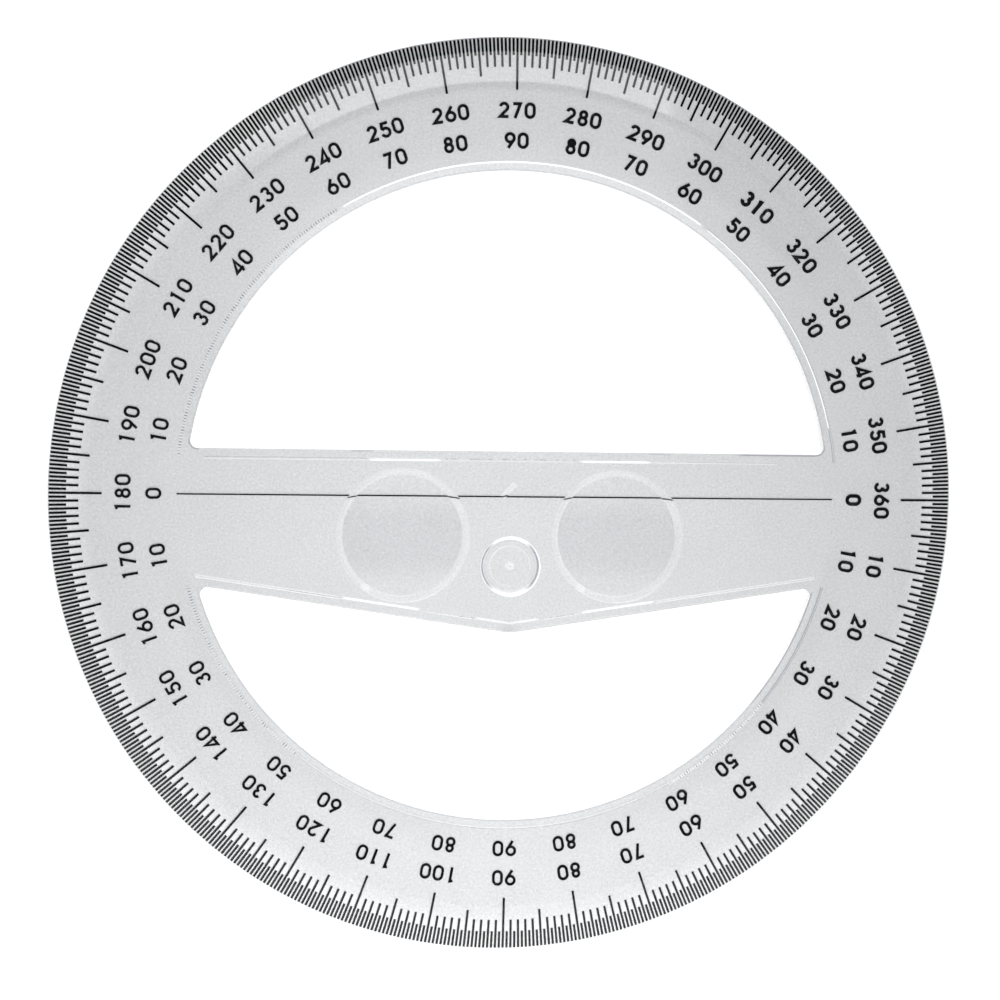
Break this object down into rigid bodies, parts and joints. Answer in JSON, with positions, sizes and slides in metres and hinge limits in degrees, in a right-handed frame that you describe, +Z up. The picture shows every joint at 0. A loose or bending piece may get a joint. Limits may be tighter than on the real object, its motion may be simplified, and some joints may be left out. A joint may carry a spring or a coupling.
{
  "type": "circular protractor",
  "caption": "Clear full-circle protractor with a half-degree scale stamped under its bevelled rim, and a bar with finger recesses between two cut-outs.",
  "frame": {"origin": "centre of the scale, on the underside of the disc", "axes": "+X along the base line towards the mark numbered 0 and 360, +Y towards the mark numbered 270, +Z up out of the upper face"},
  "size_m": [0.15, 0.15, 0.0022],
  "materials": {
    "clear_plastic": "clear, polished",
    "black_ink": "dense black foil"
  },
  "bodies": {
    "root": {"protractor_body": "clear_plastic", "half_degree_marks": "black_ink", "degree_marks": "black_ink", "five_degree_marks": "black_ink", "ten_degree_marks": "black_ink", "base_line": "black_ink"}
  },
  "joints": []
}
